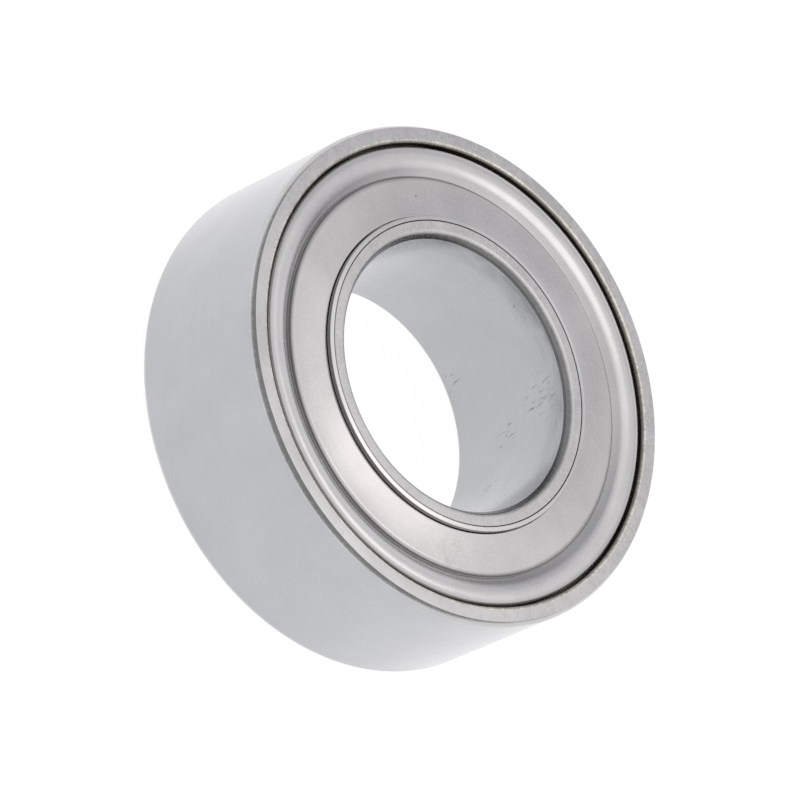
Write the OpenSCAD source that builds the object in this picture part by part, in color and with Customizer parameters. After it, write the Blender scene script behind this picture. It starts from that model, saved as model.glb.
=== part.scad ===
// Shielded deep-groove ball bearing.
// The axis of the bearing is Z and the origin is its middle. The front face looks along +Z.

/* [Boundary sizes] */
// Bore diameter
bore_d = 30; // [29.6:0.1:30.4]
// Outside diameter
outer_d = 55; // [54.6:0.1:55.4]
// Width from face to face
width = 19; // [18:0.5:20]
// Chamfer at the outside corners
outside_chamfer = 0.52; // [0.4:0.02:0.6]
// Radial width of the chamfer at the bore
bore_chamfer_w = 0.5; // [0.4:0.02:0.6]
// Axial length of the chamfer at the bore
bore_chamfer_h = 0.85; // [0.6:0.05:1]

/* [Balls and raceways] */
// Ball diameter
ball_d = 7.144; // [6.944:0.1:7.144]
// Number of balls
ball_count = 11; // [9:1:11]
// Radial gap between a ball and each raceway
ball_gap = 0.03; // [0.02:0.01:0.06]
// Raceway radius as a share of the ball diameter
race_share = 0.52; // [0.515:0.005:0.53]
// Height of the raceway shoulders as a share of the ball diameter
shoulder_share = 0.19; // [0.16:0.01:0.2]

/* [Cage] */
// Thickness of the cage's sheet
cage_sheet = 0.6; // [0.5:0.05:0.7]
// Radial width of the cage's ribbon
cage_w = 2.8; // [2.4:0.1:3]
// Gap between a ball and its pocket
pocket_gap = 0.12; // [0.1:0.01:0.16]
// Rivet shank diameter
rivet_d = 0.9; // [0.8:0.05:1]
// Rivet head diameter
rivet_head_d = 1.7; // [1.5:0.05:1.8]
// Rivet head height
rivet_head_h = 0.5; // [0.4:0.05:0.6]
// Radial gap between a rivet and its hole
rivet_gap = 0.02; // [0.01:0.01:0.04]

/* [Ring lands] */
// Radial width of the outer ring's face, from the outside to the lip over the shield groove
outer_land_w = 2.04; // [1.94:0.02:2.14]
// Rounding of the lip's edge
lip_round = 0.4; // [0.3:0.02:0.5]
// Radial width of the inner ring's face, from the bore to the wall beside the shield
inner_land_w = 2.35; // [2.25:0.05:2.45]
// Rounding at the outer edge of the inner ring's face
land_round = 0.1; // [0.08:0.01:0.14]
// Radial width of the bevel at that edge
bevel_w = 0.48; // [0.4:0.02:0.56]
// Slope of the bevel, in degrees
bevel_tilt = 11; // [9:1:13]
// Width of the fine turned line between the flat face and the bevel
line_w = 0.14; // [0.1:0.01:0.18]
// Depth of that line
line_depth = 0.08; // [0.05:0.01:0.1]
// Axial gap between the front of the inner ring's shoulder and the shield above it
shoulder_gap = 0.2; // [0.15:0.05:0.4]
// Depth of the shield seat below the face
seat_depth = 2.2; // [2.15:0.05:2.4]
// Height of the groove above the seat
groove_h = 0.9; // [0.8:0.05:1]
// How far the groove runs under the lip
undercut = 0.55; // [0.5:0.05:0.6]

/* [Shields] */
// Thickness of the shield's sheet
sheet = 0.25; // [0.2:0.01:0.28]
// Radial gap between the lip and the shield's rim
rim_gap = 0.29; // [0.25:0.01:0.35]
// Radial gap between the shield and the inner ring
seal_gap = 0.08; // [0.06:0.01:0.12]
// Depth of the rim's crest below the face
crest_depth = 0.21; // [0.15:0.01:0.27]
// Bend radius of the rim
rim_bend = 0.75; // [0.7:0.01:0.8]
// Radius of the rounded bead inside the rim
bead_r = 3; // [2.8:0.1:3.2]
// Slope of the bead's inner side, in degrees
bead_tilt = 35; // [33:1:37]
// Straight length of that slope
slope_run = 0.75; // [0.65:0.05:0.85]
// Radius of the crease at the foot of the slope
valley_r = 0.1; // [0.08:0.01:0.15]
// Straight length of the step's wall
step_run = 0.3; // [0.2:0.05:0.35]
// Radius of the step's shoulder
step_r = 0.32; // [0.3:0.01:0.4]
// Rise of the flat annulus towards the middle, in degrees
dish_tilt = 3.5; // [3:0.1:4]
// Rounding of the shield's inner edge
edge_r = 0.08; // [0.06:0.01:0.1]

/* [Hidden] */
bore_r = bore_d / 2;
outer_r = outer_d / 2;
half_w = width / 2;
ball_r = ball_d / 2;
pitch_r = (bore_r + outer_r) / 2;
ball_step = 360 / ball_count;

race_r = race_share * ball_d;
shoulder_h = shoulder_share * ball_d;
inner_race_floor = pitch_r - ball_r - ball_gap;
outer_race_floor = pitch_r + ball_r + ball_gap;
inner_shoulder_r = inner_race_floor + shoulder_h;
outer_shoulder_r = outer_race_floor - shoulder_h;

lip_r = outer_r - outer_land_w;
groove_r = lip_r + undercut;
land_r = bore_r + inner_land_w;
bevel_r = land_r - bevel_w;
bevel_end_r = land_r - land_round + land_round * sin(bevel_tilt);
bevel_end_z = half_w - (bevel_end_r - bevel_r) * tan(bevel_tilt);
seat_z = half_w - seat_depth;

cage_in_r = pitch_r - cage_w / 2;
cage_out_r = pitch_r + cage_w / 2;
pocket_r = ball_r + pocket_gap;
cage_h = pocket_r + cage_sheet;
rivet_r = rivet_d / 2;
rivet_head_r = rivet_head_d / 2;
rivet_dome_r = (pow(rivet_head_r, 2) + pow(rivet_head_h, 2)) / (2 * rivet_head_h);

rim_r = lip_r - rim_gap;
flange_tip_gap = 0.1;
flange_r = groove_r - flange_tip_gap;
flange_fillet = 0.2;
shield_in_r = land_r + seal_gap;
step_tilt = 45;

arc_steps = 8;
past = 1;

function polar(radius, angle) = [radius * cos(angle), radius * sin(angle)];

function arc(centre, radius, from, to) =
    [for (i = [0:arc_steps]) centre + polar(radius, from + (to - from) * i / arc_steps)];

function reversed(points) = [for (i = [len(points) - 1:-1:0]) points[i]];

// A half outline that starts and ends above the middle plane, joined to its mirror image below it
function mirrored(points) = concat(points, [for (p = reversed(points)) [p[0], -p[1]]]);

// Half outline of the outer ring: shield seat, groove under the lip, face and outside chamfer
function outer_ring_half() = concat(
    [
        [outer_shoulder_r, seat_z],
        [groove_r, seat_z],
        [groove_r, seat_z + groove_h],
        [lip_r, seat_z + groove_h + undercut]
    ],
    arc([lip_r + lip_round, half_w - lip_round], lip_round, 180, 90),
    [[outer_r - outside_chamfer, half_w], [outer_r, half_w - outside_chamfer]]
);

// Half outline of the inner ring: shoulder under the shield, bevelled edge, fine line, face and bore chamfer
function inner_ring_half() = concat(
    [[inner_shoulder_r, shoulder_z], [land_r, shoulder_z]],
    arc([bevel_end_r, bevel_end_z] - polar(land_round, 90 - bevel_tilt), land_round, 0, 90 - bevel_tilt),
    [
        [bevel_r, half_w],
        [bevel_r - line_w / 2, half_w - line_depth],
        [bevel_r - line_w, half_w],
        [bore_r + bore_chamfer_w, half_w],
        [bore_r, half_w - bore_chamfer_h]
    ]
);

// Centres of the shield's bends, from the rim inwards, each one tangent to the last
rim_at = [rim_r - rim_bend, half_w - crest_depth - rim_bend];
bead_at = [rim_at[0], half_w - crest_depth - bead_r];
bead_foot = bead_at + polar(bead_r, 90 + bead_tilt);
slope_foot = bead_foot - slope_run * polar(1, bead_tilt);
valley_at = slope_foot + polar(valley_r, 90 + bead_tilt);
step_foot = valley_at - polar(valley_r, 90 - step_tilt);
step_top = step_foot + step_run * polar(1, 180 - step_tilt);
step_at = step_top - polar(step_r, 90 - step_tilt);

// Height on the annulus, measured inwards from the step, at a depth below the outer skin
function dish_z(radius, depth) =
    let (start = step_at + polar(step_r - depth, 90 - dish_tilt))
    start[1] + (start[0] - radius) * tan(dish_tilt);

// Front of the inner ring's shoulder, under the shield
shoulder_z = dish_z(inner_shoulder_r, sheet) - shoulder_gap;

// The shield's bends on the skin that lies a given depth below the outer one
function shield_skin(depth) = concat(
    arc(rim_at, rim_bend - depth, 0, 90),
    arc(bead_at, bead_r - depth, 90, 90 + bead_tilt),
    arc(valley_at, valley_r + depth, 270 + bead_tilt, 270 - step_tilt),
    arc(step_at, step_r - depth, 90 - step_tilt, 90 - dish_tilt)
);

function shield_outline() =
    let (edge_x = shield_in_r + edge_r)
    concat(
        [[flange_r, seat_z + sheet]],
        arc([rim_r + flange_fillet, seat_z + sheet + flange_fillet], flange_fillet, 270, 180),
        shield_skin(0),
        arc([edge_x, dish_z(edge_x, edge_r)], edge_r, 90 - dish_tilt, 180),
        [[shield_in_r, dish_z(shield_in_r, sheet)]],
        reversed(shield_skin(sheet)),
        [[rim_r - sheet, seat_z], [flange_r, seat_z]]
    );

module ring_steel() {
    color([0.74, 0.75, 0.77]) children();
}

module shield_steel() {
    color([0.68, 0.67, 0.66]) children();
}

module ball_steel() {
    color([0.82, 0.83, 0.85]) children();
}

module cage_steel() {
    color([0.6, 0.58, 0.55]) children();
}

module turned() {
    rotate_extrude($fn = 180) children();
}

module raceway(centre_r) {
    translate([centre_r, 0]) circle(r = race_r, $fn = 90);
}

module outer_ring() {
    ring_steel() turned() difference() {
        polygon(mirrored(outer_ring_half()));
        raceway(outer_race_floor - race_r);
    }
}

module inner_ring() {
    ring_steel() turned() difference() {
        polygon(mirrored(inner_ring_half()));
        raceway(inner_race_floor + race_r);
    }
}

module shield() {
    shield_steel() turned() polygon(shield_outline());
}

module front_shield() {
    shield();
}

module rear_shield() {
    mirror([0, 0, 1]) shield();
}

module ball(i) {
    ball_steel() at_ball(i) sphere(r = ball_r, $fn = 64);
}

module at_ball(i) {
    rotate((i - 0.5) * ball_step) translate([pitch_r, 0, 0]) children();
}

module at_rivet(i) {
    rotate(i * ball_step) translate([pitch_r, 0, 0]) children();
}

// A sphere round every ball, with its poles on the radial line
module ball_spheres(radius) {
    for (i = [1:ball_count]) at_ball(i) rotate([0, 90, 0]) sphere(r = radius, $fn = 64);
}

module cage_band(height) {
    difference() {
        cylinder(h = height, r = cage_out_r, $fn = 180);
        translate([0, 0, -past]) cylinder(h = height + 2 * past, r = cage_in_r, $fn = 180);
    }
}

// One stamped ribbon: flat webs between the balls, and a round pocket over each ball
module cage_half() {
    cage_steel() difference() {
        union() {
            cage_band(cage_sheet);
            intersection() {
                cage_band(cage_h + past);
                ball_spheres(cage_h);
            }
        }
        ball_spheres(pocket_r);
        for (i = [1:ball_count])
            at_rivet(i) translate([0, 0, -past])
                cylinder(h = cage_sheet + 2 * past, r = rivet_r + rivet_gap, $fn = 32);
    }
}

module front_cage() {
    cage_half();
}

module rear_cage() {
    mirror([0, 0, 1]) cage_half();
}

// Domed head that stands on the outer face of a web
module rivet_head_outline() {
    intersection() {
        translate([0, cage_sheet + rivet_head_h - rivet_dome_r]) circle(r = rivet_dome_r, $fn = 64);
        translate([0, cage_sheet]) square([rivet_head_r, rivet_head_h]);
    }
}

module cage_rivet(i) {
    cage_steel() at_rivet(i) rotate_extrude($fn = 48) union() {
        translate([0, -cage_sheet]) square([rivet_r, 2 * cage_sheet]);
        rivet_head_outline();
        mirror([0, 1]) rivet_head_outline();
    }
}

outer_ring();
inner_ring();
front_shield();
rear_shield();
front_cage();
rear_cage();
for (i = [1:ball_count]) ball(i);
for (i = [1:ball_count]) cage_rivet(i);
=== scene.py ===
# %% [markdown]
# # A shielded ball bearing, dressed for a studio picture
#
# The solids of the bearing arrive as a fixed frame, already at their real size. This lesson gives
# them their finish: turned rings, stamped shields, and the light of a white photo tent. Every step
# says what the piece is on the real object, how it could be made, and why it is made this way.

import math

import bmesh
import bpy
from mathutils import Matrix, Vector


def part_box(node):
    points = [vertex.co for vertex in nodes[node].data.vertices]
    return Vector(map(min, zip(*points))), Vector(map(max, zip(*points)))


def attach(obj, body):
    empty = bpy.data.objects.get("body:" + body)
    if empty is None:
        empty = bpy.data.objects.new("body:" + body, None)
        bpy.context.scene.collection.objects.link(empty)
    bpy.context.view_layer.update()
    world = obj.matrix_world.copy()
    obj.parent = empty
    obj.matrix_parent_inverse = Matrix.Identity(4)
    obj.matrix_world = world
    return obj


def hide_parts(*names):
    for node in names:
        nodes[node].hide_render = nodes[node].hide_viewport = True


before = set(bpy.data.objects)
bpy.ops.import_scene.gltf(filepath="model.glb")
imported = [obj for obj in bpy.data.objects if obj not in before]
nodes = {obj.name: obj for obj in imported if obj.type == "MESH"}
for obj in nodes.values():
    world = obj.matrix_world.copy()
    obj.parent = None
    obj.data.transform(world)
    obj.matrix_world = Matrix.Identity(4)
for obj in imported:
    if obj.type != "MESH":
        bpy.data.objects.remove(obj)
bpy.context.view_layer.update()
print("solids in the frame:", len(nodes))

# %% [markdown]
# ## Sizes
#
# A bearing is bought by three numbers: bore, outside diameter and width. The outside and the width
# are read from the frame, so that the picture can't drift from the solids. All other sizes are
# steps in from these, written in millimetres times `MM`, because Blender counts in metres. Sizes
# that only one piece needs wait until that piece is drawn.

# %% Boundary sizes
MM = 0.001
outer_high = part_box("outer_ring")[1]
outside_r = outer_high.x
half_width = outer_high.z
bore_r = 15 * MM
pitch_r = (bore_r + outside_r) / 2
print(f"outside {2000 * outside_r:.2f} mm, bore {2000 * bore_r:.2f} mm")
print(f"width {2000 * half_width:.2f} mm, ball circle {2000 * pitch_r:.2f} mm")

# %% Sizes that both rings share
ball_d = 7.144 * MM
ball_gap = 0.03 * MM
race_r = 0.52 * ball_d
shoulder_height = 0.19 * ball_d
edge_ease = 0.06 * MM
print(f"balls {1000 * ball_d:.3f} mm, raceway radius {1000 * race_r:.3f} mm")

# %% [markdown]
# ## Turning a profile
#
# Rings and shields are made on a lathe or pressed in a round die, so each is one profile carried
# round the axis. Blender's Screw modifier could do it, but a small function keeps a name on every
# stretch of the profile, and each name can then carry its own finish: a ground face, a bored hole, a
# dark groove. Rounded corners are true arcs with many points, because steel shows every flat.

# %% Points along an arc
def bend(centre, radius, start, end, steps=14):
    angles = [math.radians(start + (end - start) * i / steps) for i in range(steps + 1)]
    return [(centre[0] + radius * math.cos(a), centre[1] + radius * math.sin(a)) for a in angles]


def polar(radius, angle):
    return Vector((radius * math.cos(math.radians(angle)), radius * math.sin(math.radians(angle))))


print("points on a bend:", len(bend((0, 0), MM, 0, 90)))


# %% Ease a sharp corner
def eased(before, corner, after, radius=edge_ease, steps=5):
    a, b, c = Vector(before), Vector(corner), Vector(after)
    into, out = (b - a).normalized(), (c - b).normalized()
    turn = into.angle_signed(out)
    reach = radius * math.tan(abs(turn) / 2)
    side = Vector((-into.y, into.x)) * (-1 if turn > 0 else 1)
    centre = b - into * reach + side * radius
    arm = b - into * reach - centre
    return [tuple(centre + Matrix.Rotation(-turn * i / steps, 2) @ arm) for i in range(steps + 1)]


print("points on an eased corner:", len(eased((0, MM), (0, 0), (MM, 0))))


# %% Part a stretch for two finishes, and mirror a half profile
def parted(points, at):
    return points[:at + 1], points[at:]


def mirrored(stretches):
    return [(zone, [(r, -z) for r, z in reversed(points)]) for zone, points in reversed(stretches)]


print("a bend parted at its middle:", [len(part) for part in parted(bend((0, 0), MM, 0, 90), 7)])

# %% Join the named stretches into one closed loop
SAME_POINT = 1e-9


def closed_loop(stretches):
    loop = []
    for zone, points in stretches:
        for point in points:
            if loop and math.dist(loop[-1][1], point) < SAME_POINT:
                loop[-1] = (zone, point)
                continue
            loop.append((zone, point))
    if math.dist(loop[0][1], loop[-1][1]) < SAME_POINT:
        loop.pop()
    return loop


print(f"points closer than {1e6 * SAME_POINT:.3f} micrometres are one")

# %% Carry the loop round the axis
TURN_STEPS = 288
SHARP_FROM = math.radians(30)


def turned(name, stretches, finishes):
    loop = closed_loop(stretches)
    count = len(loop)
    order = list(finishes)
    shape = bmesh.new()
    rings = []
    for step in range(TURN_STEPS):
        angle = 2 * math.pi * step / TURN_STEPS
        x, y = math.cos(angle), math.sin(angle)
        rings.append([shape.verts.new((r * x, r * y, z)) for zone, (r, z) in loop])
    for step in range(TURN_STEPS):
        here, there = rings[step], rings[(step + 1) % TURN_STEPS]
        for i in range(count):
            j = (i + 1) % count
            face = shape.faces.new((here[i], there[i], there[j], here[j]))
            face.material_index = order.index(loop[i][0])
            face.smooth = True
    bmesh.ops.recalc_face_normals(shape, faces=shape.faces)
    mesh = bpy.data.meshes.new(name)
    shape.to_mesh(mesh)
    shape.free()
    mesh.set_sharp_from_angle(angle=SHARP_FROM)
    for zone in order:
        mesh.materials.append(finishes[zone])
    piece = bpy.data.objects.new(name, mesh)
    bpy.context.scene.collection.objects.link(piece)
    print(f"{name}: {count} profile points, {len(mesh.polygons)} faces")
    return piece


print("a full turn takes", TURN_STEPS, "steps")

# %% [markdown]
# ## Grain
#
# Everything here is steel, and what tells one steel from another is the last tool that touched it.
# Grinding leaves fine lines round the axis, tumbling leaves an even satin, lapping leaves a mirror.
# The lines follow the circle, so the texture is laid in round coordinates: a unit vector that walks
# round the axis, and one number that runs across it. An image texture would need a seam somewhere;
# the unit vector has none.

# %% Short words for the node tree
def link(tree, source, target):
    tree.links.new(source, target)


def add(tree, kind, **settings):
    node = tree.nodes.new(kind)
    for key, value in settings.items():
        setattr(node, key, value)
    return node


def reckon(tree, operation, one, other):
    node = add(tree, "ShaderNodeMath", operation=operation)
    for value, socket in zip((one, other), node.inputs):
        if isinstance(value, (int, float)):
            socket.default_value = value
        else:
            link(tree, value, socket)
    return node.outputs[0]


print("node words: link, add, reckon")


# %% Round coordinates for the grain
def round_coordinates(tree, around, across):
    place = add(tree, "ShaderNodeTexCoord")
    split = add(tree, "ShaderNodeSeparateXYZ")
    link(tree, place.outputs["Object"], split.inputs[0])
    flat = add(tree, "ShaderNodeCombineXYZ")
    link(tree, split.outputs["X"], flat.inputs["X"])
    link(tree, split.outputs["Y"], flat.inputs["Y"])
    radius = add(tree, "ShaderNodeVectorMath", operation="LENGTH")
    link(tree, flat.outputs[0], radius.inputs[0])
    unit = add(tree, "ShaderNodeVectorMath", operation="NORMALIZE")
    link(tree, flat.outputs[0], unit.inputs[0])
    walk = add(tree, "ShaderNodeVectorMath", operation="SCALE")
    walk.inputs["Scale"].default_value = around
    link(tree, unit.outputs[0], walk.inputs[0])
    height = reckon(tree, "ADD", radius.outputs["Value"], split.outputs["Z"])
    rise = add(tree, "ShaderNodeCombineXYZ")
    link(tree, reckon(tree, "MULTIPLY", height, across), rise.inputs["Z"])
    total = add(tree, "ShaderNodeVectorMath", operation="ADD")
    link(tree, walk.outputs[0], total.inputs[0])
    link(tree, rise.outputs[0], total.inputs[1])
    return total.outputs[0]


print("grain coordinates: round the axis, and out along radius plus height")


# %% Noise, ranges and mixes
def noise(tree, vector, scale, detail=3.0, roughness=0.6):
    cloud = add(tree, "ShaderNodeTexNoise")
    cloud.inputs["Scale"].default_value = scale
    cloud.inputs["Detail"].default_value = detail
    cloud.inputs["Roughness"].default_value = roughness
    link(tree, vector, cloud.inputs["Vector"])
    return cloud.outputs["Fac"]


def spread(tree, value, low, high, from_low=0.3, from_high=0.7):
    ranged = add(tree, "ShaderNodeMapRange")
    ends = {"From Min": from_low, "From Max": from_high, "To Min": low, "To Max": high}
    for key, number in ends.items():
        ranged.inputs[key].default_value = number
    link(tree, value, ranged.inputs["Value"])
    return ranged.outputs["Result"]


def shade_between(tree, value, dark, light):
    mix = add(tree, "ShaderNodeMix", data_type="RGBA")
    mix.inputs["A"].default_value = (*dark, 1)
    mix.inputs["B"].default_value = (*light, 1)
    link(tree, value, mix.inputs["Factor"])
    return mix.outputs["Result"]


print("texture words: noise, spread, shade_between")

# %% [markdown]
# ## Marks of use
#
# A bearing that has been handled isn't clean. Shafts pushed through the bore leave short slanting
# scuffs, and the shield has a tiny ding and a faint stain. The bore is also painted darker in streaks
# and broad patches towards its front edge: painted shade. They could be painted as an image, but here
# each mark is a soft ball in space, placed by radius, angle and height, that lets a noise show
# through. The marks then belong to the metal and turn with it.

# %% A soft spot, and the strongest of many
def strongest(tree, values):
    top = values[0]
    for value in values[1:]:
        top = reckon(tree, "MAXIMUM", top, value)
    return top


def spot(tree, place, radius, angle, height, reach, strength=1.0):
    away = add(tree, "ShaderNodeVectorMath", operation="DISTANCE")
    away.inputs[1].default_value = (*polar(radius, angle), height)
    link(tree, place, away.inputs[0])
    return spread(tree, away.outputs["Value"], strength, 0.0, reach / 2, reach)


print("mark words: strongest, spot")

# %% Slanting scuffs in the bore: angle, height and reach of each cluster
scuff_clusters = (
    (57, -0.8 * MM, 2.1 * MM),
    (66, 5.3 * MM, 3.2 * MM),
    (88, -7.4 * MM, 1.6 * MM),
    (103, 7.0 * MM, 2.2 * MM),
    (33, -2.0 * MM, 1.8 * MM),
)
scuff_slant = -17.0
scuff_lanes = (3400.0, 3400.0, 650.0)
scuff_cut = (0.58, 0.7)


def scuffs(tree, place, height):
    twisted = add(tree, "ShaderNodeVectorRotate", rotation_type="Z_AXIS")
    link(tree, place, twisted.inputs["Vector"])
    link(tree, reckon(tree, "MULTIPLY", height, scuff_slant), twisted.inputs["Angle"])
    lanes = add(tree, "ShaderNodeVectorMath", operation="MULTIPLY")
    lanes.inputs[1].default_value = scuff_lanes
    link(tree, twisted.outputs[0], lanes.inputs[0])
    scratch = spread(tree, noise(tree, lanes.outputs[0], 1.0, 2.0), 0.0, 1.0, *scuff_cut)
    patches = [spot(tree, place, bore_r, angle, z, reach) for angle, z, reach in scuff_clusters]
    return reckon(tree, "MULTIPLY", scratch, strongest(tree, patches))


print("scuff clusters:", len(scuff_clusters))

# %% Painted shade in the bore: streaky darkening at the front edge, and angle, height, reach and depth of shaded patches
bore_chamfer_h = 0.85 * MM
painted_shade_depth = 4 * MM
painted_shade_strength = 0.75
painted_shade_lines = (2.6, 500.0)
painted_shade_tones = (0.25, 1.0)
painted_shade_cut = (0.4, 0.64)
painted_shade_patches = ((0, 8.5 * MM, 7.5 * MM, 0.75), (180, 8 * MM, 5.5 * MM, 0.5))


# Painted shade: the bore darkens in streaks towards its front edge and in two broad patches near it;
# only the scuffs are real marks.
def bore_scuffs_and_shade(tree, place):
    split = add(tree, "ShaderNodeSeparateXYZ")
    link(tree, place, split.inputs[0])
    height = split.outputs["Z"]
    film_ends = (half_width - painted_shade_depth, half_width - bore_chamfer_h)
    near_edge = spread(tree, height, 0.0, painted_shade_strength, *film_ends)
    streaks = noise(tree, round_coordinates(tree, *painted_shade_lines), 1.0, 3.0)
    film = spread(tree, streaks, *painted_shade_tones, *painted_shade_cut)
    shade_patches = [spot(tree, place, bore_r, *shade_patch) for shade_patch in painted_shade_patches]
    marks = [reckon(tree, "MULTIPLY", near_edge, film), scuffs(tree, place, height)]
    return strongest(tree, marks + shade_patches)


# Painted shade: how far in from the front edge the bore is darkened, and how many shaded patches.
print(f"oil film reaches {1000 * painted_shade_depth:.1f} mm in, with {len(painted_shade_patches)} smears")

# %% A ding and a stain on the shield: radius, angle, height, reach and depth
shield_ding = (19.7 * MM, 163, 0, 0.2 * MM, 0.55)
shield_stain = (20.2 * MM, -34, 0, 2.4 * MM, 0.16)
stain_blotches = 700.0
blotch_cut = (0.35, 0.6)


def sheet_marks(tree, place):
    flat = add(tree, "ShaderNodeVectorMath", operation="MULTIPLY")
    flat.inputs[1].default_value = (1, 1, 0)
    link(tree, place, flat.inputs[0])
    ding = spot(tree, flat.outputs[0], *shield_ding)
    stain = spot(tree, flat.outputs[0], *shield_stain)
    blotch = spread(tree, noise(tree, place, stain_blotches, 3.0), 0.0, 1.0, *blotch_cut)
    return strongest(tree, [ding, reckon(tree, "MULTIPLY", stain, blotch)])


print(f"ding {1000 * shield_ding[3]:.1f} mm, stain {1000 * shield_stain[3]:.1f} mm")

# %% [markdown]
# ## One recipe for every steel
#
# Steels differ in tint, gloss, the pitch of their lines, and how cloudy or speckled they are. Each
# could be its own node tree, but then a change has to be made twenty times. One function builds them
# all from the Principled shader: a metal whose colour wanders a little, whose roughness follows the
# lines, and whose relief is a few thousandths of a millimetre. A wet film of oil is the shader's
# coat, which brightens the steel where it is seen at a slant.

# %% Colour of a steel, with its clouds, streaks and marks
GRIT_SCALE = 5200.0
CLOUD_SCALE = 160.0
TONE_REACH = 0.25
MARK_SHADE = 0.4


def steel_colour(tree, place, grain, grit, tint, mottle, streaks, marks):
    cloud = noise(tree, place, CLOUD_SCALE, 4.0)
    dark = [c * (1 - mottle) for c in tint]
    light = [min(1.0, c * (1 + mottle)) for c in tint]
    tone = add(tree, "ShaderNodeMath", operation="MULTIPLY_ADD")
    link(tree, grain, tone.inputs[0])
    tone.inputs[1].default_value = streaks
    link(tree, reckon(tree, "ADD", cloud, grit), tone.inputs[2])
    middle = 1 + streaks / 2
    share = spread(tree, tone.outputs[0], 0.0, 1.0, middle - TONE_REACH, middle + TONE_REACH)
    colour = shade_between(tree, share, dark, light)
    # For the bore, the marks also carry painted shade towards its front edge.
    if marks:
        stain = add(tree, "ShaderNodeMix", data_type="RGBA")
        link(tree, marks(tree, place), stain.inputs["Factor"])
        link(tree, colour, stain.inputs["A"])
        stain.inputs["B"].default_value = (*[MARK_SHADE * c for c in tint], 1)
        colour = stain.outputs["Result"]
    return colour


print(f"grit {1000 / GRIT_SCALE:.2f} mm, clouds {1000 / CLOUD_SCALE:.1f} mm across")

# %% Gloss and relief of a steel
RELIEF_STRENGTH = 0.35
RELIEF_DEPTH = 0.006 * MM


def steel_roughness(tree, grain, grit, gloss, line_depth, speckle):
    rub = add(tree, "ShaderNodeMath", operation="MULTIPLY_ADD")
    link(tree, spread(tree, grain, -line_depth, line_depth), rub.inputs[0])
    rub.inputs[1].default_value = gloss
    link(tree, spread(tree, grit, gloss * (1 - speckle), gloss * (1 + speckle)), rub.inputs[2])
    return rub.outputs[0]


def steel_relief(tree, grain, grit, line_depth, speckle):
    lines = spread(tree, grain, 0.0, line_depth)
    pits = spread(tree, grit, 0.0, speckle)
    relief = add(tree, "ShaderNodeBump")
    relief.inputs["Strength"].default_value = RELIEF_STRENGTH
    relief.inputs["Distance"].default_value = RELIEF_DEPTH
    link(tree, reckon(tree, "ADD", lines, pits), relief.inputs["Height"])
    return relief.outputs["Normal"]


print(f"relief {1e6 * RELIEF_DEPTH:.0f} micrometres")

# %% Put a steel together
OIL_GLOSS = 0.2


def steel(name, tint, gloss, lines=(3.0, 9000.0), line_depth=0.2, speckle=0.15,
          mottle=0.05, streaks=0.0, oil=0.0, marks=None):
    finish = bpy.data.materials.new(name)
    finish.use_nodes = True
    tree = finish.node_tree
    shader = tree.nodes["Principled BSDF"]
    shader.inputs["Metallic"].default_value = 1.0
    shader.inputs["Coat Weight"].default_value = oil
    shader.inputs["Coat Roughness"].default_value = OIL_GLOSS
    place = add(tree, "ShaderNodeTexCoord").outputs["Object"]
    grain = noise(tree, round_coordinates(tree, *lines), 1.0)
    grit = noise(tree, place, GRIT_SCALE, 2.0)
    colour = steel_colour(tree, place, grain, grit, tint, mottle, streaks, marks)
    link(tree, colour, shader.inputs["Base Color"])
    rub = steel_roughness(tree, grain, grit, gloss, line_depth, speckle)
    link(tree, rub, shader.inputs["Roughness"])
    normal = steel_relief(tree, grain, grit, line_depth, speckle)
    link(tree, normal, shader.inputs["Normal"])
    print("finish:", name)
    return finish


print("oil film roughness", OIL_GLOSS)

# %% [markdown]
# ## Outer ring
#
# The outer ring stands still in its housing. Seen from the front it is a narrow bright face, a small
# lip, and the groove where the shield snaps in. A lathe cuts the profile and a grinder finishes the
# face, so the outer corner is a round that the flat face cuts short. Half of the profile is drawn,
# from the raceway outwards, and the other half is its mirror image. Bevelling a plain tube would be
# quicker, but it couldn't make the undercut groove.

# %% Finishes of the outer ring
outside_steel = steel("outside_steel", (0.5, 0.506, 0.53), 0.3, oil=1.0)
face_steel = steel("face_steel", (0.551, 0.545, 0.55), 0.38,
                   lines=(46.0, 1500.0), speckle=0.3, mottle=0.11, streaks=1.0)
chamfer_steel = steel("chamfer_steel", (0.6, 0.592, 0.592), 0.25,
                      lines=(40.0, 1200.0), mottle=0.1, streaks=0.8)
# A lighter, cream tint on the lip's rounded edge: a painted highlight.
lip_painted_highlight_steel = steel("lip_painted_highlight_steel", (0.62, 0.59, 0.55), 0.34,
                  lines=(70.0, 900.0), mottle=0.25, streaks=1.2)
# Dark brown under the lip: partly oil, partly painted shade.
lip_wall_oil_and_painted_shade_steel = steel("lip_wall_oil_and_painted_shade_steel", (0.27, 0.25, 0.225), 0.35, mottle=0.12)
# Dark brown in the groove, also used on the shield's flange: partly oil, partly painted shade.
groove_oil_and_painted_shade_steel = steel("groove_oil_and_painted_shade_steel", (0.26, 0.235, 0.21), 0.5, mottle=0.15)
seat_steel = steel("seat_steel", (0.5, 0.49, 0.48), 0.35)
race_steel = steel("race_steel", (0.6, 0.61, 0.62), 0.1, line_depth=0.05, speckle=0.03)
outer_finishes = {
    "shoulder": seat_steel,
    "groove": groove_oil_and_painted_shade_steel,
    "lip_wall": lip_wall_oil_and_painted_shade_steel,
    "lip": lip_painted_highlight_steel,
    "face": face_steel,
    "chamfer": chamfer_steel,
    "outside": outside_steel,
    "raceway": race_steel,
}

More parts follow.
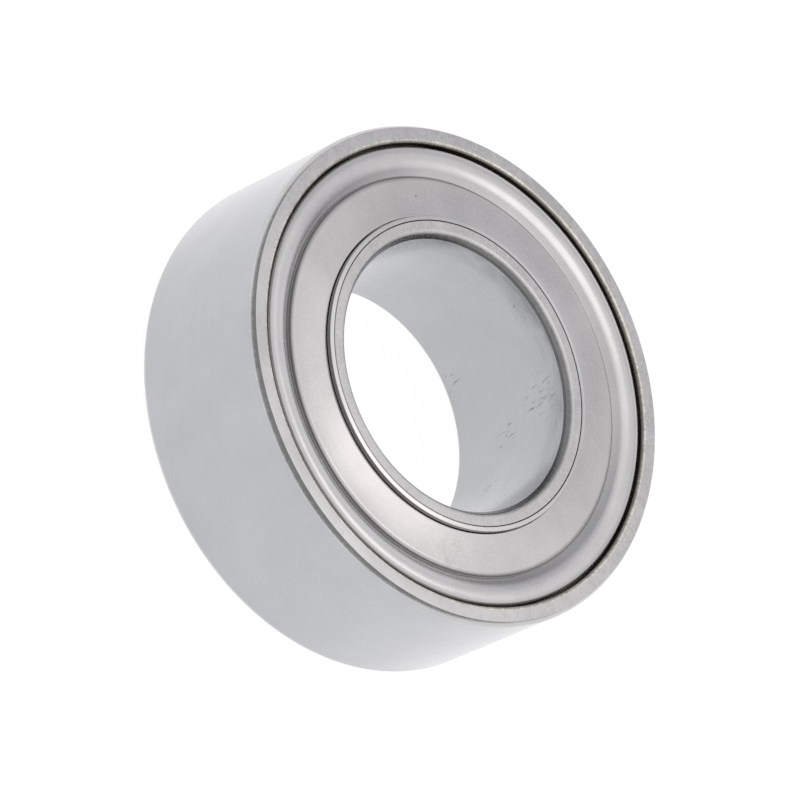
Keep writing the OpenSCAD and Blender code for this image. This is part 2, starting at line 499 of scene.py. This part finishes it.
# %% Raceway, groove and lip
lip_r = outside_r - 2.04 * MM
lip_round = 0.4 * MM
undercut = 0.55 * MM
groove_height = 0.9 * MM
seat_z = half_width - 2.2 * MM
outer_race_floor = pitch_r + ball_d / 2 + ball_gap
shoulder_r = outer_race_floor - shoulder_height
race_centre = outer_race_floor - race_r
race_half = math.degrees(math.acos((shoulder_r - race_centre) / race_r))
race_edge_z = race_r * math.sin(math.radians(race_half))
groove_r = lip_r + undercut
under_lip_z = seat_z + groove_height + undercut
groove = [(shoulder_r, seat_z), (groove_r, seat_z), (groove_r, seat_z + groove_height)]
lip_end = (lip_r + lip_round, half_width)
lip_arc = bend((lip_end[0], half_width - lip_round), lip_round, 180, 90, 16)
lip_side, lip_top = parted(lip_arc, 5)
raceway = [("raceway", bend((race_centre, 0), race_r, -race_half, race_half, 24))]
print(f"raceway to {race_half:.1f} degrees each way, groove radius {1000 * groove_r:.2f} mm")

# %% Outer corner
flank_r = 2.1 * MM
flank_tilts = (50, 66)
corner_r = 1.0 * MM
flank_start, flank_end = (90 - tilt for tilt in flank_tilts)
flank_drop = (polar(flank_r, flank_start) - polar(flank_r, flank_end)).y
corner_z = half_width - flank_drop - polar(corner_r, flank_end).y
corner_at = Vector((outside_r - corner_r, corner_z))
corner = bend(corner_at, corner_r, flank_end, 0, 12)
corner_top, corner_side = parted(corner, 5)
flank_at = Vector(corner[0]) - polar(flank_r, flank_end)
flank = bend(flank_at, flank_r, flank_start, flank_end, 12)
face_end = eased(lip_end, flank[0], flank[2])
outside_foot = corner[-1]
outside_wall = [("outside", [outside_foot, (outside_r, -outside_foot[1])])]
print(f"corner begins at radius {1000 * face_end[0][0]:.2f} mm, ends {1000 * corner_z:.2f} mm up")

# %% Turn the outer ring
outer_half = [
    ("shoulder", [(shoulder_r, race_edge_z), (shoulder_r, seat_z)]),
    ("groove", groove + [(lip_r, under_lip_z)]),
    ("lip_wall", [(lip_r, under_lip_z)] + lip_side),
    ("lip", lip_top),
    ("face", [lip_end, face_end[0]]),
    ("chamfer", face_end + flank[2:] + corner_top),
    ("outside", corner_side),
]
outer_profile = outer_half + outside_wall + mirrored(outer_half) + raceway
outer_ring = turned("turned_outer_ring", outer_profile, outer_finishes)
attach(outer_ring, "outer")
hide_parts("outer_ring")

# %% [markdown]
# ## Shields
#
# A shield is a thin washer stamped from sheet steel and tumbled to a satin. Its rim is curled and
# pressed into the groove of the outer ring. From the rim a rounded bead falls to a narrow valley, a
# soft shoulder climbs out of it, and a broad annulus rises gently to the inner edge. A Solidify
# modifier on a bent strip would do, but steel shows every flaw in a bend, so each bend is an arc that
# starts where the last one ends, and the underside is the same path one sheet thickness lower.

# %% Finishes of the shields
rim_steel = steel("rim_steel", (0.58, 0.572, 0.578), 0.24,
                  lines=(2.0, 3000.0), line_depth=0.08, mottle=0.07)
# The rim's outer side is painted much lighter than the sheet: painted light in the gap beside the
# lip.
rim_side_painted_light_steel = steel("rim_side_painted_light_steel", (0.8, 0.787, 0.787), 0.5)
# The valley and the foot of the shoulder are painted dark: painted shade in the crease.
crease_painted_shade_steel = steel("crease_painted_shade_steel", (0.3, 0.296, 0.29), 0.45, mottle=0.12)
shield_steel = steel("shield_steel", (0.567, 0.55, 0.556), 0.22,
                     lines=(2.0, 3000.0), line_depth=0.08, mottle=0.08, marks=sheet_marks)
edge_steel = steel("edge_steel", (0.52, 0.51, 0.505), 0.3)
under_steel = steel("under_steel", (0.42, 0.41, 0.4), 0.4)
shield_finishes = {
    "flange": groove_oil_and_painted_shade_steel,
    "rim_side": rim_side_painted_light_steel,
    "rim": rim_steel,
    "crease": crease_painted_shade_steel,
    "annulus": shield_steel,
    "edge": edge_steel,
    "under": under_steel,
}

# %% Sizes of the sheet, from the rim inwards
sheet = 0.25 * MM
rim_r = lip_r - 0.29 * MM
flange_r = lip_r + undercut - 0.1 * MM
flange_fillet = 0.2 * MM
crest_z = half_width - 0.21 * MM
crown_r = 1.6 * MM
crown_tilt = 20
rim_bend = 0.42 * MM
bead_r = 2.87 * MM
bead_tilt = 35
slope_run = 0.75 * MM
valley_r = 0.1 * MM
step_run = 0.02 * MM
step_r = 0.62 * MM
step_tilt = 57
dish_tilt = 3.5
dish_start = 0.5
dish_end = 7
land_r = bore_r + 2.35 * MM
shield_bore_r = land_r + 0.08 * MM
edge_r = 0.06 * MM
print(f"sheet {1000 * sheet:.2f} mm thick")
print(f"shield radius {1000 * shield_bore_r:.2f} to {1000 * flange_r:.2f} mm")

# %% Centres of the bends
crown_reach = (crown_r - rim_bend) * math.sin(math.radians(crown_tilt))
crown_at = Vector((rim_r - rim_bend - crown_reach, crest_z - crown_r))
rim_at = crown_at + polar(crown_r - rim_bend, 90 - crown_tilt)
bead_at = Vector((crown_at.x, crest_z - bead_r))
bead_foot = bead_at + polar(bead_r, 90 + bead_tilt)
slope_foot = bead_foot - polar(slope_run, bead_tilt)
valley_at = slope_foot + polar(valley_r, 90 + bead_tilt)
step_foot = valley_at - polar(valley_r, 90 - step_tilt)
step_top = step_foot + polar(step_run, 180 - step_tilt)
step_at = step_top - polar(step_r, 90 - step_tilt)
valley_depth = crest_z - slope_foot.y
print(f"valley at radius {1000 * valley_at.x:.2f} mm, {1000 * valley_depth:.2f} mm deep")


# %% The bends, on the face of the sheet or a depth below it
def rim_and_bead(depth):
    edge = bend(rim_at, rim_bend - depth, 0, 90 - crown_tilt)
    crown = bend(crown_at, crown_r - depth, 90 - crown_tilt, 90, 6)
    return edge + crown + bend(bead_at, bead_r - depth, 90, 90 + bead_tilt)


def crease(depth):
    return bend(valley_at, valley_r + depth, 270 + bead_tilt, 270 - step_tilt)


def shoulder(depth, last_tilt):
    return bend(step_at, step_r - depth, 90 - step_tilt, 90 - last_tilt)


def dish_z(radius, depth):
    start = step_at + polar(step_r - depth, 90 - dish_tilt)
    return start.y + (start.x - radius) * math.tan(math.radians(dish_tilt))


print(f"underside at the inner edge: {1000 * dish_z(shield_bore_r, sheet):.2f} mm up")

# %% The annulus, one long arc from the shoulder to the inner edge
start_rise, end_rise = (math.sin(math.radians(tilt)) for tilt in (dish_start, dish_end))
dish_from = step_at + polar(step_r, 90 - dish_start)
dish_end_r = shield_bore_r + edge_r + edge_r * end_rise
dish_r = (dish_from.x - dish_end_r) / (end_rise - start_rise)
dish_at = dish_from + polar(dish_r, 90 - dish_start)
annulus = bend(dish_at, dish_r, 270 - dish_start, 270 - dish_end)
edge_at = Vector(annulus[-1]) - polar(edge_r, 90 - dish_end)
edge_round = bend(edge_at, edge_r, 90 - dish_end, 180, 8)
print(f"annulus arc radius {1000 * dish_r:.1f} mm")

# %% The whole path of the sheet
curl_at = (rim_r + flange_fillet, seat_z + sheet + flange_fillet)
curl_foot = bend(curl_at, flange_fillet, 270, 180, 6)
flange = [(rim_r - sheet, seat_z), (flange_r, seat_z), (flange_r, seat_z + sheet)]
rim_side, rim_top = parted(rim_and_bead(0), 8)
step_side, step_crown = parted(shoulder(0, dish_start), 3)
under_edge = [edge_round[-1], (shield_bore_r, dish_z(shield_bore_r, sheet))]
underside = shoulder(sheet, dish_tilt)[::-1] + crease(sheet)[::-1] + rim_and_bead(sheet)[::-1]
sheet_path = [
    ("flange", flange + curl_foot),
    ("rim_side", [curl_foot[-1]] + rim_side),
    ("rim", rim_top + [tuple(slope_foot)]),
    ("crease", crease(0) + step_side),
    ("annulus", step_crown + annulus),
    ("edge", edge_round),
    ("under", under_edge + underside + [(rim_r - sheet, seat_z)]),
]
print("points on the sheet's path:", sum(len(points) for zone, points in sheet_path))

# %% Turn a shield for each side
for side, path in (("front", sheet_path), ("rear", mirrored(sheet_path))):
    shield = turned(f"stamped_{side}_shield", path, shield_finishes)
    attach(shield, "outer")
    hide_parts(f"{side}_shield")

# %% [markdown]
# ## Inner ring
#
# The inner ring grips the shaft and turns with it. Its front is a flat ground face round the bore, a
# fine turned line, and a narrow bevel. The bevel is painted lighter than the face, a painted
# highlight, and the line's outer wall is painted near black, a painted shade, with its inner wall
# painted light.
# Its wall passes the shield's inner edge with a gap of 0.08 mm, so the shield never rubs. The bore's
# edge is rounded at the top and still crisp below; the round is painted light, a painted highlight,
# and the chamfer below is painted dark, a painted shade. It is turned like the outer ring, from half
# a profile, because the line and the rounded edge are far too fine to model with a bevel on the
# finished mesh.

# %% Finishes of the inner ring
# The bore carries real scuffs and painted shade towards its front edge.
bore_steel = steel("bore_steel", (0.475, 0.481, 0.505), 0.28, oil=0.8, marks=bore_scuffs_and_shade)
# The bore's rounded top edge is painted light, a painted highlight, and the chamfer below it dark, a
# painted shade: one steel in a lit and a shaded copy.
bore_chamfer_painted_shade_steel = steel("bore_chamfer_painted_shade_steel", (0.41, 0.405, 0.4), 0.27,
                        lines=(60.0, 1200.0), mottle=0.12, streaks=0.8)
bore_round_painted_highlight_steel = steel("bore_round_painted_highlight_steel", (0.62, 0.612, 0.606), 0.27,
                        lines=(60.0, 1200.0), mottle=0.12, streaks=0.8)
# The bevel and the wall below it are painted lighter than the face: a painted highlight.
bevel_painted_highlight_steel = steel("bevel_painted_highlight_steel", (0.62, 0.612, 0.61), 0.22)
# The fine line's outer wall is painted near black, a painted shade, and its inner wall is painted
# light.
line_painted_shade_steel = steel("line_painted_shade_steel", (0.05, 0.049, 0.048), 0.45)
line_side_painted_light_steel = steel("line_side_painted_light_steel", (0.78, 0.77, 0.765), 0.3)
inner_finishes = {
    "shoulder": seat_steel,
    "land": bevel_painted_highlight_steel,
    "line": line_painted_shade_steel,
    "line_side": line_side_painted_light_steel,
    "lit_bore_round": bore_round_painted_highlight_steel,
    "chamfer": bore_chamfer_painted_shade_steel,
    "face": face_steel,
    "bore": bore_steel,
    "raceway": race_steel,
}

# %% Raceway, bevel and fine line
land_round = 0.1 * MM
bevel_r = bore_r + 1.87 * MM
bevel_tilt = 6.5
line_w = 0.14 * MM
line_depth = 0.08 * MM
shoulder_gap = 0.2 * MM
inner_race_floor = pitch_r - ball_d / 2 - ball_gap
inner_shoulder_r = inner_race_floor + shoulder_height
inner_race_centre = inner_race_floor + race_r
inner_half_angle = math.degrees(math.acos((inner_race_centre - inner_shoulder_r) / race_r))
inner_edge_z = race_r * math.sin(math.radians(inner_half_angle))
inner_arc = (180 + inner_half_angle, 180 - inner_half_angle)
inner_race = [("raceway", bend((inner_race_centre, 0), race_r, *inner_arc, 24))]
shoulder_z = dish_z(inner_shoulder_r, sheet) - shoulder_gap
bevel_end_r = land_r - land_round + land_round * math.sin(math.radians(bevel_tilt))
bevel_drop = (bevel_end_r - bevel_r) * math.tan(math.radians(bevel_tilt))
bevel_end = Vector((bevel_end_r, half_width - bevel_drop))
land_at = bevel_end - polar(land_round, 90 - bevel_tilt)
land_corner = bend(land_at, land_round, 0, 90 - bevel_tilt, 8)
line_foot = (bevel_r - line_w / 2, half_width - line_depth)
face_line = [(bevel_r, half_width), line_foot, (bevel_r - line_w, half_width)]
line_wall, line_side = parted(face_line, 1)
print(f"bevel drops {1000 * bevel_drop:.3f} mm, wall radius {1000 * land_r:.2f} mm")

# %% Edge of the bore
bore_chamfer_w = 0.5 * MM
bore_ease = 0.65 * MM
bore_chamfer_top = (bore_r + bore_chamfer_w, half_width)
bore_chamfer_foot = (bore_r, half_width - bore_chamfer_h)
bore_round = eased(face_line[-1], bore_chamfer_top, bore_chamfer_foot, bore_ease, 14)
bore_round_top, bore_round_side = parted(bore_round, 8)
bore_corner = eased(bore_chamfer_top, bore_chamfer_foot, (bore_r, 0))
bore_edge_middle = tuple((Vector(bore_round[-1]) + Vector(bore_corner[0])) / 2)
bore_foot = bore_corner[-1]
bore_wall = [("bore", [bore_foot, (bore_foot[0], -bore_foot[1])])]
print(f"bore edge {1000 * bore_chamfer_w:.2f} by {1000 * bore_chamfer_h:.2f} mm")

# %% Turn the inner ring
shoulder_top = (inner_shoulder_r, shoulder_z)
inner_half = [
    ("shoulder", [(inner_shoulder_r, inner_edge_z), shoulder_top, (land_r, shoulder_z)]),
    ("land", [(land_r, shoulder_z)] + land_corner + [face_line[0]]),
    ("line", line_wall),
    ("line_side", line_side),
    ("face", face_line[2:] + bore_round_top),
    ("lit_bore_round", bore_round_side + [bore_edge_middle]),
    ("chamfer", [bore_edge_middle] + bore_corner),
]
inner_profile = inner_half + bore_wall + mirrored(inner_half) + inner_race
inner_ring = turned("turned_inner_ring", inner_profile, inner_finishes)
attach(inner_ring, "inner")
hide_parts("inner_ring")

# %% [markdown]
# ## Balls, cage and rivets
#
# Behind the shields the balls run in a cage of two stamped ribbons, riveted together between the
# balls. They could be remodelled, but their solids already have the right shape, so they only get
# their finishes: lapped balls, an oiled stamping, drawn rivets.

# %% Finish the rolling set
ball_finish = steel("lapped_ball_steel", (0.66, 0.67, 0.69), 0.06, line_depth=0.02, speckle=0.05)
cage_finish = steel("oiled_cage_steel", (0.42, 0.4, 0.37), 0.38)
rivet_finish = steel("rivet_wire_steel", (0.46, 0.45, 0.43), 0.34)
finish_of = {
    "ball": ball_finish,
    "cage_rivet": rivet_finish,
    "front_cage": cage_finish,
    "rear_cage": cage_finish,
}
rolling_set = []
for name, solid in nodes.items():
    kind = name.rstrip("0123456789").rstrip("_")
    if kind in finish_of:
        solid.data.materials.clear()
        solid.data.materials.append(finish_of[kind])
        rolling_set.append(name)
print("solids finished in place:", len(rolling_set))

# %% [markdown]
# ## Floor
#
# The bearing lies flat on a white paper sweep. A product picture wants pure white round the object
# and only a breath of shadow. More light would whiten the paper but burn out the steel, so most of
# the paper's brightness is its own, shown only to the camera and to reflections, and the rest is
# light that falls on it and can be shaded.

# %% Lay the floor
floor_reach = 1.5
corners = [(x * floor_reach, y * floor_reach) for x, y in ((-1, -1), (1, -1), (1, 1), (-1, 1))]
floor_mesh = bpy.data.meshes.new("white_floor")
floor_mesh.from_pydata([(x, y, -half_width) for x, y in corners], [], [(0, 1, 2, 3)])
floor = bpy.data.objects.new("white_floor", floor_mesh)
bpy.context.scene.collection.objects.link(floor)
print(f"floor {2 * floor_reach:.1f} m wide, {1000 * half_width:.1f} mm below the middle")

# %% White paper
paper_light = 0.955
paper_tint = 0.11
paper = bpy.data.materials.new("white_paper")
paper.use_nodes = True
tree = paper.node_tree
tree.nodes.remove(tree.nodes["Principled BSDF"])
rays = add(tree, "ShaderNodeLightPath").outputs
seen = strongest(tree, [rays[f"Is {kind} Ray"] for kind in ("Camera", "Glossy", "Transmission")])
glow = add(tree, "ShaderNodeEmission")
link(tree, reckon(tree, "MULTIPLY", seen, paper_light), glow.inputs["Strength"])
matt = add(tree, "ShaderNodeBsdfDiffuse")
matt.inputs["Color"].default_value = (paper_tint, paper_tint, paper_tint, 1)
both = add(tree, "ShaderNodeAddShader")
link(tree, glow.outputs[0], both.inputs[0])
link(tree, matt.outputs[0], both.inputs[1])
link(tree, both.outputs[0], tree.nodes["Material Output"].inputs["Surface"])
floor_mesh.materials.append(paper)
print(f"paper shines {paper_light} by itself")

# %% [markdown]
# ## Light
#
# A photo tent wraps the object in white cloth, so polished steel shows soft greys and no lamp. The
# cloth is brightest overhead, where the lamps stand, has a second bright patch low down at the back,
# and is dark where the camera looks in. The world plays the cloth. Four softboxes hang close above
# the bearing, because a near lamp lights one side of the ring more than the other, which a world
# can't do. A picture of a studio on the world would be quicker, but it can't be tuned patch by patch.

# %% Hang the tent: direction, outer and inner angle, low and high glow of each bright patch
roof_patch = ((0.08, 0.485, 1), 63, 44, 0.32, 0.715)
back_patch = ((-0.04, 1, 0.184), 24, 17, 0.0, 0.345)
cloth_tint = (0.985, 0.98, 1, 1)


def glow_towards(tree, direction, centre, wide, narrow, low, high):
    facing = add(tree, "ShaderNodeVectorMath", operation="DOT_PRODUCT")
    facing.inputs[1].default_value = Vector(centre).normalized()
    link(tree, direction, facing.inputs[0])
    edge, core = math.cos(math.radians(wide)), math.cos(math.radians(narrow))
    return spread(tree, facing.outputs["Value"], low, high, edge, core)


world = bpy.data.worlds.new("photo_tent")
bpy.context.scene.world = world
world.use_nodes = True
tree = world.node_tree
sky = tree.nodes["Background"]
sky.inputs["Color"].default_value = cloth_tint
direction = add(tree, "ShaderNodeTexCoord").outputs["Generated"]
overhead = glow_towards(tree, direction, *roof_patch)
low_back = glow_towards(tree, direction, *back_patch)
link(tree, reckon(tree, "ADD", overhead, low_back), sky.inputs["Strength"])
print("tent hung, with a bright roof and a bright patch at the back")


# %% Set the softboxes: place across the bearing, radius and brightness
def soft_lamp(name, place, radius, brightness, colour):
    data = bpy.data.lights.new(name, "AREA")
    data.shape = "DISK"
    data.size = 2 * radius
    data.color = colour
    data.energy = brightness * 4 * math.pi * radius ** 2
    lamp = bpy.data.objects.new(name, data)
    lamp.location = place
    bpy.context.scene.collection.objects.link(lamp)
    print(f"{name}: {1000 * data.energy:.1f} milliwatts")


warm = (1, 0.965, 0.92)
lamp_height = 85 * MM
for name, x, y, radius, brightness in (
    ("front_softbox", 18, 25, 23.4, 0.78),
    ("left_softbox", -11, 30, 22.5, 0.34),
    ("right_softbox", 38, 51, 26, 0.28),
    ("wide_softbox", 37, 15, 90, 0.17),
):
    soft_lamp(name, (x * MM, y * MM, lamp_height), radius * MM, brightness, warm)

# %% [markdown]
# ## Camera
#
# A long lens from well back keeps the ellipses of the two faces nearly alike. The camera looks down
# on the face at a slant and is rolled, so that the axis of the bearing points up to the right. It
# could be aimed with a Track To constraint, but the roll is easier to keep as three plain directions.
# The lens is shifted, not turned, to put the bearing right of the middle.

# %% Directions of the camera
view_tilt = math.radians(44.5)
camera_roll = math.radians(24.74)
towards_camera = Vector((0, -math.sin(view_tilt), math.cos(view_tilt)))
axis_in_picture = Vector((0, math.cos(view_tilt), math.sin(view_tilt)))
across_axis = towards_camera.cross(axis_in_picture)
camera_x = math.cos(camera_roll) * axis_in_picture - math.sin(camera_roll) * across_axis
camera_y = math.sin(camera_roll) * axis_in_picture + math.cos(camera_roll) * across_axis
print("camera looks from", [round(c, 3) for c in towards_camera])

# %% Place the camera
picture_px = 800
face_scale_px = 262.36
face_px = (461.1, 372.0)
middle_px = picture_px / 2
metres_per_px = outside_r / face_scale_px
lens_distance = 26.07 * outside_r
aim_above_face = 0.0072 * outside_r
aim = Vector((0, 0, half_width + aim_above_face))
camera_data = bpy.data.cameras.new("camera")
camera_data.sensor_width = 36
camera_data.lens = camera_data.sensor_width * lens_distance / (picture_px * metres_per_px)
camera_data.shift_x = (middle_px - face_px[0]) / picture_px
camera_data.shift_y = (face_px[1] - middle_px) / picture_px
camera_data.clip_end = 10
camera = bpy.data.objects.new("camera", camera_data)
turn = Matrix((camera_x, camera_y, towards_camera)).transposed()
camera.matrix_world = Matrix.Translation(aim + lens_distance * towards_camera) @ turn.to_4x4()
bpy.context.scene.collection.objects.link(camera)
bpy.context.scene.camera = camera
bpy.context.scene.view_settings.view_transform = "Standard"
print(f"lens {camera_data.lens:.1f} mm from {lens_distance:.3f} m")
